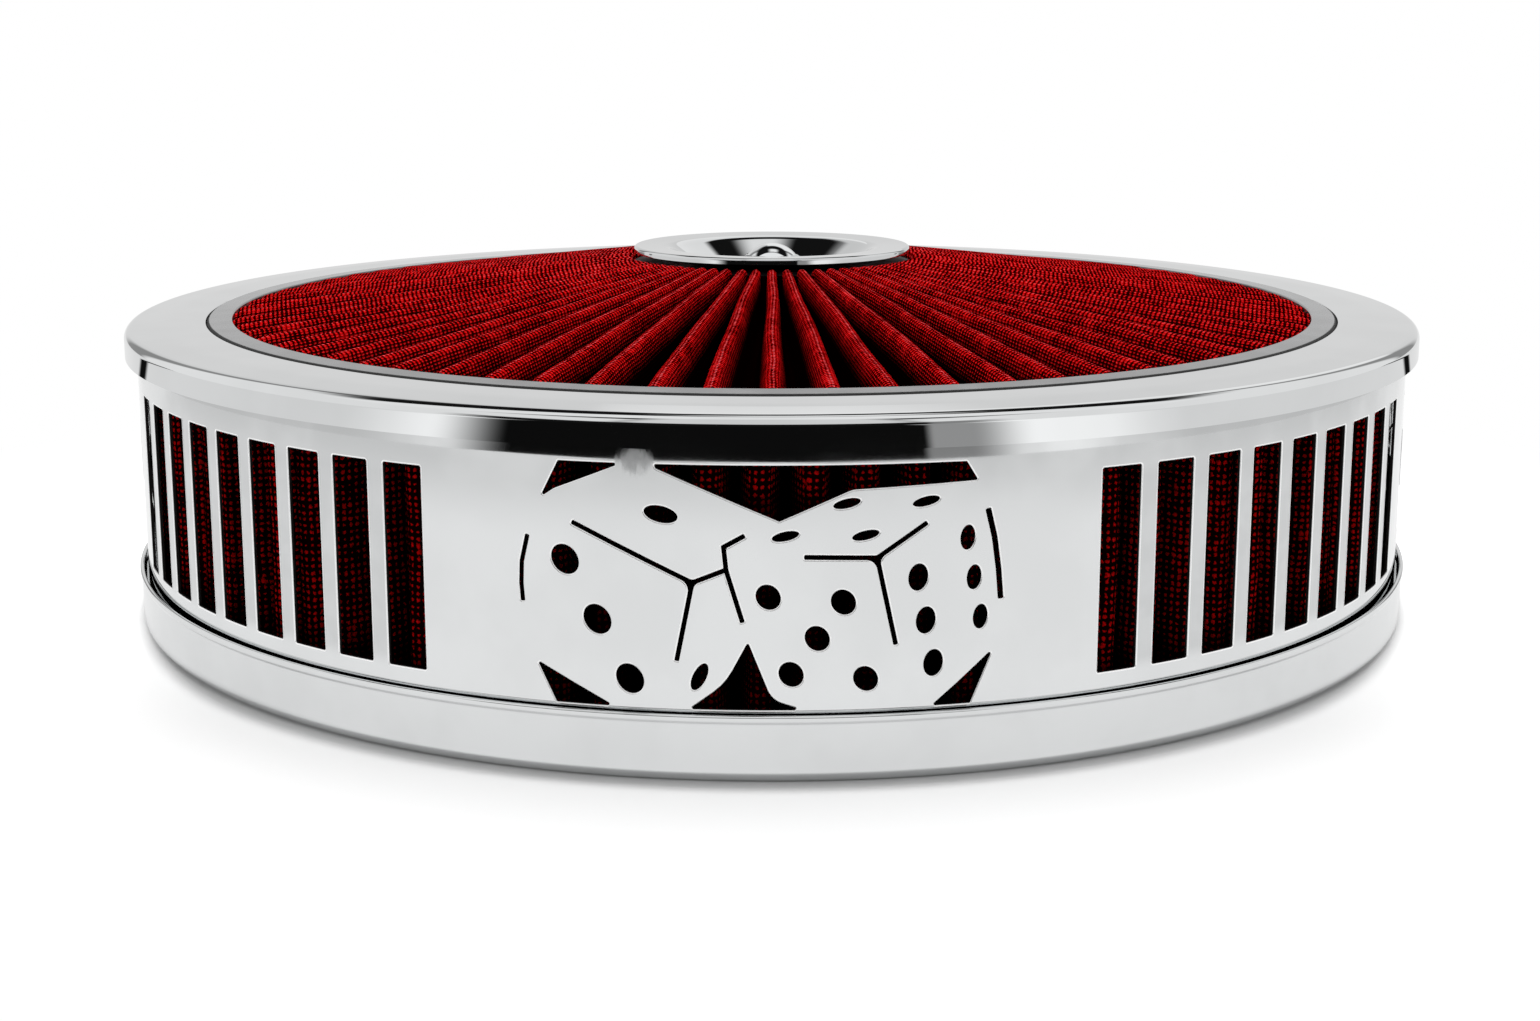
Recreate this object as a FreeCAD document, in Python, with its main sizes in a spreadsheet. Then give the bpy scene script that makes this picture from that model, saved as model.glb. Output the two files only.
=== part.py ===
import FreeCAD, Part
import os
import re
from math import cos, degrees, pi, sin, tan
from FreeCAD import Rotation, Vector
import Sketcher

# Round carburetor air cleaner: chromed base pan, cut side band, pleated filter ring,
# and a lid whose centre is a second, cone-shaped pleated filter.
# Millimetres. Z is up, the origin is the centre of the base, on the surface it stands on.
# The dice motif faces -Y.

DRIVING_SIZES = {
    # base pan
    "base_sheet": 1.0,
    "base_band_gap": 0.8,
    "base_rim_top": 14.9,
    "base_corner_round": 2.5,
    "base_hem_drop": 2.4,
    "base_hem_thickness": 1.5,
    "shoulder_run": 2.4,
    "shoulder_round": 2.0,
    "plateau_rise": 7.0,
    "neck_radius": 65.3,
    "neck_flange_height": 9.0,
    "neck_land_width": 9.0,
    "neck_land_rise": 3.0,
    "neck_land_run": 2.0,
    "neck_round": 1.2,
    "gasket_thickness": 2.0,
    "gasket_margin": 0.6,
    # side band and its cuts
    "band_element_gap": 1.5,
    "band_sheet": 0.9,
    "band_top_gap": 0.7,
    "pattern_drop": 35.2,
    "pattern_repeats": 4,
    "slot_count": 9,
    "slot_width": 10.07,
    "slot_bar": 4.36,
    "slot_height": 45.2,
    "slot_round": 0.5,
    "motif_radius": 50.6,
    "motif_strip_height": 52.2,
    "motif_line_width": 1.05,
    "motif_corner_round": 0.35,
    # pleated filter ring
    "element_height": 76.2,
    "element_outer_radius": 172.4,
    "element_wall": 13.4,
    "element_seal_depth": 8.0,
    "element_seal_round": 1.2,
    "element_shoulder_gap": 0.6,
    "side_pleat_count": 96,
    "side_crest_cover": 1.6,
    "side_valley_cover": 1.6,
    "side_crest_half_width": 1.5,
    "side_valley_half_width": 0.7,
    "media_thickness": 0.8,
    # lid ring
    "lid_band_gap": 2.0,
    "lid_sheet": 1.0,
    "lid_seat_gap": 0.3,
    "lid_skirt_drop": 7.1,
    "lid_corner_round": 2.5,
    "lid_crown_inset": 10.3,
    "lid_crown_rise": 0.6,
    "lid_crown_round": 60.0,
    "lid_lip_drop": 4.5,
    "lid_lip_round": 2.0,
    # potted ring between the lid ring and the pleated cone
    "edge_seal_width": 6.9,
    "edge_seal_gap": 0.8,
    "edge_seal_top_drop": 0.2,
    "edge_seal_flange": 0.4,
    "edge_seal_depth": 11.5,
    "edge_seal_round": 1.0,
    # pleated cone in the lid
    "lid_pleat_count": 72,
    "lid_pleat_end_rise": 1.0,
    "lid_pleat_depth": 12.0,
    "rim_crest_half_width": 2.4,
    "rim_valley_half_width": 0.9,
    "hub_crest_half_width": 1.15,
    "hub_valley_half_width": 0.2,
    "hub_pleat_shoulder": 4.0,
    "hub_pleat_drop": 2.4,
    "pleat_bevel_share": 0.07,
    "pleat_flat_share": 0.45,
    # hub, cap, nut and stud
    "hub_radius": 43.0,
    "hub_rise": 12.5,
    "hub_thickness": 9.5,
    "hub_round": 1.5,
    "hub_pleat_rise": 1.6,
    "hub_plate_inset": 7.0,
    "hub_plate_sheet": 1.5,
    "sleeve_wall": 2.4,
    "cap_inset": 3.8,
    "cap_sheet": 1.2,
    "cap_rise": 4.7,
    "cap_edge_drop": 1.8,
    "cap_edge_round": 0.8,
    "cap_land_width": 10.2,
    "cap_land_drop": 0.5,
    "cap_slope_run": 14.0,
    "cap_floor_depth": 10.5,
    "cap_bend_round": 6.0,
    "cap_recess_gap": 1.6,
    "stud_radius": 3.175,
    "stud_shank_radius": 2.8,
    "stud_lower_thread": 20.0,
    "stud_upper_thread": 28.0,
    "stud_foot_gap": 2.0,
    "stud_chamfer": 0.6,
    "stud_hole_gap": 0.4,
    "thread_gap": 0.07,
    "washer_radius": 8.2,
    "washer_thickness": 1.2,
    "nut_across_flats": 14.29,
    "nut_height": 9.6,
    "nut_crown_sphere": 9.0,
    "nut_crown_radius": 6.9,
    "nut_hole_depth": 8.1,
    "nut_hole_spare": 0.6,
    "nut_shoulder": 0.2,
}

# places that follow from the sizes, as text: radii first, from the filter ring outwards and inwards
BAND_RADIUS = "(element_outer_radius + band_element_gap + band_sheet)"
BASE_RADIUS = f"({BAND_RADIUS} + base_band_gap + base_sheet)"
LID_RADIUS = f"({BAND_RADIUS} + lid_band_gap + lid_sheet)"
LID_CROWN_RADIUS = f"({LID_RADIUS} - lid_crown_inset)"
ELEMENT_INNER = "(element_outer_radius - element_wall)"
SIDE_CREST_RADIUS = "(element_outer_radius - side_crest_cover)"
SIDE_VALLEY_RADIUS = f"({ELEMENT_INNER} + side_valley_cover)"
EDGE_SEAL_OUTER = f"({ELEMENT_INNER} - edge_seal_gap)"
LID_LIP_RADIUS = f"({EDGE_SEAL_OUTER} - edge_seal_flange - lid_sheet)"
EDGE_SEAL_INNER = f"({LID_LIP_RADIUS} - edge_seal_width)"
SHOULDER_FOOT = f"({ELEMENT_INNER} - element_shoulder_gap)"
SHOULDER_HEAD = f"({SHOULDER_FOOT} - shoulder_run)"
HUB_PLATE_RADIUS = "(hub_radius - hub_plate_inset)"
CAP_RADIUS = "(hub_radius - cap_inset)"
CAP_LAND_RADIUS = f"({CAP_RADIUS} - cap_land_width)"
CAP_FLOOR_RADIUS = f"({CAP_LAND_RADIUS} - cap_slope_run)"
STUD_HOLE = "(stud_radius + stud_hole_gap)"
HEM_ROUND = "(base_hem_thickness * 0.45)"

# heights, from the floor of the base upwards
BASE_FLOOR = "base_sheet"
PLATEAU_TOP = f"({BASE_FLOOR} + plateau_rise)"
NECK_LAND_TOP = f"({PLATEAU_TOP} + neck_land_rise)"
NECK_LAND_UNDER = f"({NECK_LAND_TOP} - base_sheet)"
NECK_TOP = f"({NECK_LAND_UNDER} + neck_flange_height)"
STUD_FOOT = f"({NECK_TOP} + stud_foot_gap)"
ELEMENT_TOP = f"({BASE_FLOOR} + element_height)"
LID_UNDER = f"({ELEMENT_TOP} + lid_seat_gap)"
LID_TOP = f"({LID_UNDER} + lid_sheet)"
BAND_TOP = f"({LID_UNDER} - band_top_gap)"
PATTERN_HEIGHT = f"({BAND_TOP} - pattern_drop)"
HUB_TOP = f"({LID_TOP} + hub_rise)"
HUB_UNDER = f"({HUB_TOP} - hub_thickness)"
HUB_PLEAT_TOP = f"({HUB_TOP} + hub_pleat_rise)"
CAP_TOP = f"({HUB_TOP} + cap_rise)"
CAP_FLOOR_TOP = f"({CAP_TOP} - cap_floor_depth)"
CAP_FLOOR_UNDER = f"({CAP_FLOOR_TOP} - cap_sheet)"
WASHER_TOP = f"({CAP_FLOOR_TOP} + washer_thickness)"
NUT_TOP = f"({WASHER_TOP} + nut_height)"
STUD_TOP = f"({WASHER_TOP} + nut_hole_depth - nut_hole_spare)"

doc = FreeCAD.newDocument("AirCleaner")
sheet = doc.addObject("Spreadsheet::Sheet", "Sizes")
for row, (alias, number) in enumerate(DRIVING_SIZES.items(), start=1):
    sheet.set(f"A{row}", alias)
    sheet.set(f"B{row}", str(number))
    sheet.setAlias(f"B{row}", alias)
doc.recompute()


def size(alias):
    """A driving size as a plain number."""
    return float(sheet.get(alias))


def count(alias):
    """A driving number of copies."""
    return int(round(size(alias)))


def bound(text):
    """The same text with each size read from the sheet."""
    return re.sub(r"[a-z]+(_[a-z]+)+", r"Sizes.\g<0>", text)


def place_of(text):
    """The value of a place: its sizes, each added or taken away."""
    signed = re.findall(r"([-+]?)[ (]*([a-z]+(?:_[a-z]+)+)", text)
    return sum(-size(alias) if sign == "-" else size(alias) for sign, alias in signed)


def origin_plane(body, role):
    """One of the body's own origin planes or axes."""
    for feature in body.Origin.OriginFeatures:
        if feature.Role == role:
            return feature
    raise ValueError(role)


def revolved(label, corners, rounds=()):
    """A turned body: corners are (radius, height) texts, rounds are (corner numbers, radius text)."""
    body = doc.addObject("PartDesign::Body", label)
    body.Label = label
    profile = body.newObject("Sketcher::SketchObject", f"{label}_profile")
    profile.AttachmentSupport = (origin_plane(body, "XZ_Plane"), [""])
    profile.MapMode = "FlatFace"
    number = len(corners)
    start = [Vector(2 + cos(2 * pi * i / number), 2 + sin(2 * pi * i / number), 0) for i in range(number)]
    for i in range(number):
        profile.addGeometry(Part.LineSegment(start[i], start[(i + 1) % number]), False)
    for i in range(number):
        profile.addConstraint(Sketcher.Constraint("Coincident", i, 2, (i + 1) % number, 1))
    for i, (radius, height) in enumerate(corners):
        for kind, axis, text in (("DistanceX", -2, radius), ("DistanceY", -1, height)):
            if text == "0":
                profile.addConstraint(Sketcher.Constraint("PointOnObject", i, 1, axis))
                continue
            place = profile.addConstraint(Sketcher.Constraint(kind, -1, 1, i, 1, 1.0))
            profile.setExpression(f"Constraints[{place}]", bound(text))
    turned = body.newObject("PartDesign::Revolution", f"{label}_turned")
    turned.Profile = profile
    turned.ReferenceAxis = (profile, ["V_Axis"])
    turned.Angle = 360.0
    body.Tip = turned
    doc.recompute()
    points = [profile.Geometry[i].StartPoint for i in range(number)]
    for group, (numbers, radius) in enumerate(rounds):
        before = body.Tip
        names = [circle_name(before.Shape, points[i].x, points[i].y) for i in numbers]
        fillet = body.newObject("PartDesign::Fillet", f"{label}_round_{group}")
        fillet.Base = (before, names)
        fillet.setExpression("Radius", bound(radius))
        body.Tip = fillet
        doc.recompute()
    return body


def circle_name(shape, radius, height):
    """The name of the full circle of that radius at that height."""
    for i, edge in enumerate(shape.Edges, start=1):
        curve = edge.Curve
        if not isinstance(curve, Part.Circle):
            continue
        if abs(curve.Radius - radius) < 1e-4 and abs(curve.Center.z - height) < 1e-4:
            return f"Edge{i}"
    raise ValueError(f"no circle of radius {radius} at height {height}")


def rounded_outline(corners):
    """A closed wire through (x, z, round) corners, with each corner rounded by a tangent arc."""
    edges = []
    last = None
    first = None
    number = len(corners)
    for i, (x, z, radius) in enumerate(corners):
        corner = Vector(x, 0, z)
        before = Vector(corners[i - 1][0], 0, corners[i - 1][1]) - corner
        after = Vector(corners[(i + 1) % number][0], 0, corners[(i + 1) % number][1]) - corner
        half_turn = before.getAngle(after) / 2
        before.normalize()
        after.normalize()
        run = radius / tan(half_turn)
        start = corner + before * run
        end = corner + after * run
        if last is not None:
            edges.append(Part.LineSegment(last, start).toShape())
        if first is None:
            first = start
        bisector = before + after
        if radius > 0 and bisector.Length > 1e-6:
            bisector.normalize()
            middle = corner + bisector * (radius / sin(half_turn) - radius)
            edges.append(Part.Arc(start, middle, end).toShape())
        last = end
    edges.append(Part.LineSegment(last, first).toShape())
    return Part.Face(Part.Wire(edges))


# base pan

base_pan = revolved(
    "base_pan",
    [
        (BASE_RADIUS, "0"),
        (BASE_RADIUS, "base_rim_top"),
        (f"{BASE_RADIUS} - base_hem_thickness", "base_rim_top"),
        (f"{BASE_RADIUS} - base_hem_thickness", "base_rim_top - base_hem_drop"),
        (f"{BASE_RADIUS} - base_sheet", "base_rim_top - base_hem_drop - base_hem_thickness + base_sheet"),
        (f"{BASE_RADIUS} - base_sheet", BASE_FLOOR),
        (SHOULDER_FOOT, BASE_FLOOR),
        (SHOULDER_HEAD, PLATEAU_TOP),
        ("neck_radius + neck_land_width + neck_land_run", PLATEAU_TOP),
        ("neck_radius + neck_land_width", NECK_LAND_TOP),
        ("neck_radius + base_sheet", NECK_LAND_TOP),
        ("neck_radius + base_sheet", NECK_TOP),
        ("neck_radius", NECK_TOP),
        ("neck_radius", NECK_LAND_UNDER),
        ("neck_radius + neck_land_width - base_sheet", NECK_LAND_UNDER),
        ("neck_radius + neck_land_width - base_sheet + neck_land_run", f"{PLATEAU_TOP} - base_sheet"),
        (f"{SHOULDER_HEAD} - base_sheet", f"{PLATEAU_TOP} - base_sheet"),
        (f"{SHOULDER_FOOT} - base_sheet", "0"),
    ],
    [
        ((0,), "base_corner_round"),
        ((1, 2), HEM_ROUND),
        ((7,), "shoulder_round"),
        ((16,), "shoulder_round - base_sheet"),
        ((9,), "neck_round"),
        ((13,), "neck_round"),
    ],
)

neck_gasket = revolved(
    "neck_gasket",
    [
        ("neck_radius + gasket_margin + neck_round", f"{NECK_LAND_UNDER} - gasket_thickness"),
        ("neck_radius + neck_land_width - base_sheet", f"{NECK_LAND_UNDER} - gasket_thickness"),
        ("neck_radius + neck_land_width - base_sheet", NECK_LAND_UNDER),
        ("neck_radius + gasket_margin + neck_round", NECK_LAND_UNDER),
    ],
)


# side band

SLIT_END_ROUND = 0.3


def motif_unit():
    """The motif is drawn in hundredths of its radius."""
    return size("motif_radius") / 100


def on_band(across, height):
    """A point of the motif, measured from its centre, once the band is rolled."""
    band = place_of(BAND_RADIUS)
    unit = motif_unit()
    return Vector(band * sin(across * unit / band), 0, place_of(PATTERN_HEIGHT) + height * unit)


def cutter(face):
    """Moves a flat cut-out in front of the band and pushes it through the curved sheet."""
    band = place_of(BAND_RADIUS)
    sheet_thickness = size("band_sheet")
    motif_reach = 1.1 * size("motif_radius")
    nearest = (band - sheet_thickness) * cos(motif_reach / band)
    face.translate(Vector(0, -band - sheet_thickness, 0))
    return face.extrude(Vector(0, band - nearest + 2 * sheet_thickness, 0))


def cut_out(corners):
    """A cut-out with (across, height) corners; a third number gives a corner its own round."""
    rolled = []
    for across, height, *own_round in corners:
        point = on_band(across, height)
        corner_round = own_round[0] * motif_unit() if own_round else size("motif_corner_round")
        rolled.append((point.x, point.z, corner_round))
    return rounded_outline(rolled)


def line_cut(points, width):
    """A slit of even width along a line of points."""
    least_spread = 0.3
    left, right = [], []
    for i, (x, z) in enumerate(points):
        ahead = points[min(i + 1, len(points) - 1)]
        behind = points[max(i - 1, 0)]
        first = Vector(x - behind[0], 0, z - behind[1])
        second = Vector(ahead[0] - x, 0, ahead[1] - z)
        if first.Length == 0:
            first = Vector(second)
        if second.Length == 0:
            second = Vector(first)
        first.normalize()
        second.normalize()
        mean = first + second
        mean.normalize()
        reach = width / 2 / max(mean.dot(first), least_spread)
        end_round = width * SLIT_END_ROUND
        left.append((x - mean.z * reach, z + mean.x * reach, end_round))
        right.append((x + mean.z * reach, z - mean.x * reach, end_round))
    return cut_out(left + right[::-1])


def branch_cut(centre, ends, width, blend):
    """Three slits that meet at a blended centre: the near edges of a die."""
    arms = []
    for x, z in ends:
        arm = Vector(x - centre[0], 0, z - centre[1])
        arms.append((Vector(1, 0, 0).getAngle(arm) * (1 if arm.z >= 0 else -1), arm))
    arms.sort(key=lambda item: item[0])
    corners = []
    for i, (angle, arm) in enumerate(arms):
        following = arms[(i + 1) % len(arms)][0]
        aside = Vector(-sin(angle), 0, cos(angle)) * (width / 2)
        tip = Vector(centre[0], 0, centre[1]) + arm
        corners.append((tip.x - aside.x, tip.z - aside.z, width * SLIT_END_ROUND))
        corners.append((tip.x + aside.x, tip.z + aside.z, width * SLIT_END_ROUND))
        gap = (following - angle) % (2 * pi)
        reach = width / 2 / sin(gap / 2)
        middle = angle + gap / 2
        inner = (centre[0] + reach * cos(middle), centre[1] + reach * sin(middle))
        corners.append((*inner, blend / tan(gap / 2)))
    return cut_out(corners)


def pip(x, z, half_length, half_height, tilt):
    """One spot of a die: an ellipse tilted with its face."""
    place = on_band(x, z)
    turn = Rotation(Vector(0, -1, 0), tilt)
    major = turn.multVec(Vector(half_length, 0, 0)) * motif_unit()
    minor = turn.multVec(Vector(0, 0, half_height)) * motif_unit()
    ellipse = Part.Ellipse(place + major, place + minor, place)
    return Part.Face(Part.Wire(ellipse.toShape()))


def pips(centre, column, row, spots, half_length, half_height, tilt):
    """The spots of one face: spots are (columns, rows) from the face's centre."""
    made = []
    for across, along in spots:
        x = centre[0] + across * column[0] + along * row[0]
        z = centre[1] + across * column[1] + along * row[1]
        made.append(pip(x, z, half_length, half_height, tilt))
    return made


def dice_cuts():
    """The cut-outs that draw a pair of dice in a circle, in hundredths of the circle's radius."""
    top = size("motif_strip_height") / 2 / motif_unit()
    line = size("motif_line_width") / motif_unit()
    left_branch = branch_cut((-27.5, 2.4), [(-77.9, 26.1), (-34.2, -31), (-14, 7.9)], line, 6.3)
    right_edge = line_cut([(-5.9, 22.5), (-14.6, 17.6), (-13.6, 7.9), (-6.9, -14.2)], line)
    lines = left_branch.fuse(right_edge).removeSplitter()
    faces = list(lines.Faces)
    faces.append(branch_cut((48.2, 12.6), [(18.2, 13.4), (69, 26.7), (56.3, -24.5)], line, 5.9))
    faces.append(line_cut([(-97.4, 19.6), (-100.2, 7.9), (-100.6, -1.2), (-100, -9.1)], line))
    faces.append(line_cut([(94.9, 31.4), (98, 19), (100, 5.5), (101.2, -7.5)], line * 1.25))
    faces.append(cut_out([(-83.4, top), (-56.1, top), (-85.4, top - 11.9, 7.9), (-91.7, top - 16.2)]))
    faces.append(cut_out([
        (-43.1, top), (-42.3, top - 1.8), (8.1, top - 23.3),
        (37.9, top - 10.3, 7.9), (90.5, top - 8.1), (85.4, top),
    ]))
    faces.append(cut_out([(-94.3, -top + 17.6), (-85.8, -top), (-60.7, -top)]))
    faces.append(cut_out([(98.4, -top + 23.3), (88.5, -top), (71.5, -top), (82.2, -top + 9.1, 23.7)]))
    faces.append(cut_out([
        (-4.7, -top + 29.4), (5.1, -top + 4.5, 9.9), (18.6, -top),
        (-29.2, -top), (-14.2, -top + 11.5, 27.7),
    ]))
    square = [(-1, -1), (-1, 1), (1, -1), (1, 1)]
    row_of_three = [(0, -1), (0, 0), (0, 1)]
    faces += pips((-67.4, -14.6), (0, 0), (13.6, -24.7), row_of_three, 6.7, 5.5, -56)
    faces.append(pip(-40.3, 30.8, 7.1, 3.5, -12))
    faces.append(pip(-24.7, -37.5, 6.3, 2.8, 64))
    faces += pips((23.7, -20.9), (15.4, -1.2), (4.7, -16.4), square + [(0, 0)], 5.6, 4.9, -50)
    faces += pips((39.5, 28.9), (16.4, 0), (-12.5, -6.7), square, 5.7, 2, 12)
    faces += pips((68.8, -14.6), (0, 0), (3.4, -18.4), row_of_three, 5.8, 4.1, 83)
    faces += pips((89.3, 2.6), (0, 0), (3, -17), row_of_three, 5.3, 3.1, 85)
    return faces


def band_cuts():
    """Every hole in the band: a group of slots centred between motifs, repeated round the ring."""
    band = place_of(BAND_RADIUS)
    pitch = degrees((size("slot_width") + size("slot_bar")) / band)
    sector = 360 / count("pattern_repeats")
    half_width = size("slot_width") / 2
    half_height = size("slot_height") / 2
    low = place_of(PATTERN_HEIGHT) - half_height
    high = place_of(PATTERN_HEIGHT) + half_height
    slot_corners = [(-half_width, low), (half_width, low), (half_width, high), (-half_width, high)]
    slot = cutter(rounded_outline([(*corner, size("slot_round")) for corner in slot_corners]))
    one_sector = [cutter(face) for face in dice_cuts()]
    for i in range(count("slot_count")):
        turned = slot.copy()
        angle = sector / 2 + (i - (count("slot_count") - 1) / 2) * pitch
        turned.rotate(Vector(0, 0, 0), Vector(0, 0, 1), angle)
        one_sector.append(turned)
    holes = []
    for repeat in range(count("pattern_repeats")):
        for hole in one_sector:
            turned = hole.copy()
            turned.rotate(Vector(0, 0, 0), Vector(0, 0, 1), repeat * sector)
            holes.append(turned)
    return Part.makeCompound(holes)


def cylinder(name, radius, height, foot="0"):
    """A plain cylinder on the axis."""
    made = doc.addObject("Part::Cylinder", name)
    made.setExpression("Radius", bound(radius))
    made.setExpression("Height", bound(height))
    if foot != "0":
        made.setExpression("Placement.Base.z", bound(foot))
    return made


def cut(label, base, tool):
    """The base with the tool taken away."""
    made = doc.addObject("Part::Cut", label)
    made.Label = label
    made.Base = base
    made.Tool = tool
    return made


band_blank = cut(
    "band_blank",
    cylinder("band_outside", BAND_RADIUS, f"{BAND_TOP} - {BASE_FLOOR}", BASE_FLOOR),
    cylinder("band_inside", f"{BAND_RADIUS} - band_sheet", f"{BAND_TOP} - {BASE_FLOOR}", BASE_FLOOR),
)
band_holes = doc.addObject("Part::Feature", "band_holes")
band_holes.Shape = band_cuts()
side_band = cut("side_band", band_blank, band_holes)


# pleats

def pleated_solid(rings_above, rings_below):
    """A folded sheet between an upper and a lower skin, each skin a list of closed point rings."""
    faces = []

    def facet(*corners):
        faces.append(Part.Face(Part.makePolygon([*corners, corners[0]])))

    def quads(first, second):
        number = len(first)
        for i in range(number):
            following = (i + 1) % number
            a, b, c, d = first[i], first[following], second[following], second[i]
            normal = (b - a).cross(d - a)
            if abs(normal.dot(c - a)) < 1e-6 * normal.Length:
                facet(a, b, c, d)
            elif (c - a).Length < (d - b).Length:
                facet(a, b, c)
                facet(a, c, d)
            else:
                facet(a, b, d)
                facet(b, c, d)

    for skin in (rings_above, rings_below):
        for first, second in zip(skin, skin[1:]):
            quads(first, second)
    quads(rings_above[0], rings_below[0])
    quads(rings_above[-1], rings_below[-1])
    shell = Part.makeShell(faces)
    shell.sewShape()
    solid = Part.makeSolid(shell)
    if solid.Volume < 0:
        solid.reverse()
    return solid


def pleat_ring(pleats, fold, place):
    """One closed ring of fold corners; place turns (angle, share of the way to the crest) to a point."""
    return [place(i * 2 * pi / pleats + angle, share) for i in range(pleats) for angle, share in fold]


def sharp_fold(step, crest, valley):
    """Corners of one flat-topped fold; crest and valley are half widths as angles."""
    return [(-step / 2 + valley, 0), (-crest, 1), (crest, 1), (step / 2 - valley, 0)]


def soft_fold(step, crest, valley):
    """Corners of one fold with a rounded crest and valley."""
    bevel = size("pleat_bevel_share")
    flat = crest * size("pleat_flat_share")
    return [
        (-step / 2, 0),
        (-step / 2 + valley, bevel),
        (-crest, 1 - bevel),
        (-flat, 1),
        (flat, 1),
        (crest, 1 - bevel),
        (step / 2 - valley, bevel),
    ]


def side_pleats():
    """The pleated wall of the filter ring, potted between its two seals."""
    low = place_of(f"{BASE_FLOOR} + element_seal_depth")
    high = place_of(f"{ELEMENT_TOP} - element_seal_depth")
    crest_radius = place_of(SIDE_CREST_RADIUS)
    valley_radius = place_of(SIDE_VALLEY_RADIUS)
    pleats = count("side_pleat_count")

    def ring(height, inset):
        crest = (size("side_crest_half_width") - inset) / crest_radius
        valley = (size("side_valley_half_width") + inset) / valley_radius

        def place(angle, share):
            radius = valley_radius + (crest_radius - valley_radius) * share - inset
            return Vector(radius * sin(angle), -radius * cos(angle), height)

        return pleat_ring(pleats, sharp_fold(2 * pi / pleats, crest, valley), place)

    thickness = size("media_thickness")
    return pleated_solid([ring(low, 0), ring(high, 0)], [ring(low, thickness), ring(high, thickness)])


def lid_pleats():
    """The cone of radial pleats, from the edge seal up to the hub, with rounded ends at the hub."""
    hub = size("hub_radius")
    rim = place_of(EDGE_SEAL_INNER)
    shoulder = place_of("hub_radius + hub_pleat_shoulder")
    top = place_of(HUB_PLEAT_TOP)
    rim_crest = place_of(f"{LID_TOP} + lid_pleat_end_rise")
    pleats = count("lid_pleat_count")

    def ring(radius, inset):
        if radius <= shoulder:
            share = (shoulder - radius) / size("hub_pleat_shoulder")
            crest_height = top - size("hub_pleat_drop") * share ** 2
            floor = top - size("lid_pleat_depth")
        else:
            crest_height = top + (rim_crest - top) * (radius - shoulder) / (rim - shoulder)
            floor = crest_height - size("lid_pleat_depth")
        out = (radius - hub) / (rim - hub)
        crest = size("hub_crest_half_width") * (1 - out) + size("rim_crest_half_width") * out
        valley = size("hub_valley_half_width") * (1 - out) + size("rim_valley_half_width") * out
        fold = soft_fold(2 * pi / pleats, (crest - inset) / radius, (valley + inset) / radius)

        def place(angle, share):
            height = floor + (crest_height - floor) * share - inset
            return Vector(radius * sin(angle), -radius * cos(angle), height)

        return pleat_ring(pleats, fold, place)

    stations = [hub, (2 * hub + shoulder) / 3, shoulder, rim]
    above = [ring(radius, 0) for radius in stations]
    below = [ring(radius, size("media_thickness")) for radius in stations]
    return pleated_solid(above, below)


def made_feature(label, shape):
    """A piece whose shape is worked out here from the sheet's sizes."""
    made = doc.addObject("Part::Feature", label)
    made.Label = label
    made.Shape = shape
    return made


element_media = made_feature("element_media", side_pleats())
lid_media = made_feature("lid_media", lid_pleats())


def end_seal(label, foot):
    """A moulded ring that pots the pleat ends and seals against the sheet metal."""
    head = f"{foot} + element_seal_depth"
    return revolved(
        label,
        [
            (ELEMENT_INNER, foot),
            ("element_outer_radius", foot),
            ("element_outer_radius", head),
            (ELEMENT_INNER, head),
        ],
        [((0, 1, 2, 3), "element_seal_round")],
    )


element_lower_seal = end_seal("element_lower_seal", BASE_FLOOR)
element_upper_seal = end_seal("element_upper_seal", f"{ELEMENT_TOP} - element_seal_depth")


# lid

lid_ring = revolved(
    "lid_ring",
    [
        (LID_RADIUS, f"{LID_TOP} - lid_skirt_drop"),
        (LID_RADIUS, LID_TOP),
        (LID_CROWN_RADIUS, f"{LID_TOP} + lid_crown_rise"),
        (LID_LIP_RADIUS, LID_TOP),
        (LID_LIP_RADIUS, f"{LID_TOP} - lid_lip_drop"),
        (f"{LID_LIP_RADIUS} + lid_sheet", f"{LID_TOP} - lid_lip_drop"),
        (f"{LID_LIP_RADIUS} + lid_sheet", LID_UNDER),
        (LID_CROWN_RADIUS, f"{LID_UNDER} + lid_crown_rise"),
        (f"{LID_RADIUS} - lid_sheet", LID_UNDER),
        (f"{LID_RADIUS} - lid_sheet", f"{LID_TOP} - lid_skirt_drop"),
    ],
    [
        ((1,), "lid_corner_round"),
        ((3,), "lid_lip_round"),
        ((8,), "lid_corner_round - lid_sheet"),
        ((6,), "lid_lip_round - lid_sheet"),
        ((2,), "lid_crown_round"),
        ((7,), "lid_crown_round - lid_sheet"),
    ],
)

lid_edge_seal = revolved(
    "lid_edge_seal",
    [
        (EDGE_SEAL_INNER, f"{LID_TOP} - edge_seal_depth"),
        (EDGE_SEAL_OUTER, f"{LID_TOP} - edge_seal_depth"),
        (EDGE_SEAL_OUTER, f"{LID_TOP} - lid_lip_drop"),
        (LID_LIP_RADIUS, f"{LID_TOP} - lid_lip_drop"),
        (LID_LIP_RADIUS, f"{LID_TOP} - lid_lip_round"),
        (LID_LIP_RADIUS, f"{LID_TOP} - edge_seal_top_drop"),
        (EDGE_SEAL_INNER, f"{LID_TOP} - edge_seal_top_drop"),
    ],
    [((1, 6), "edge_seal_round")],
)

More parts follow.
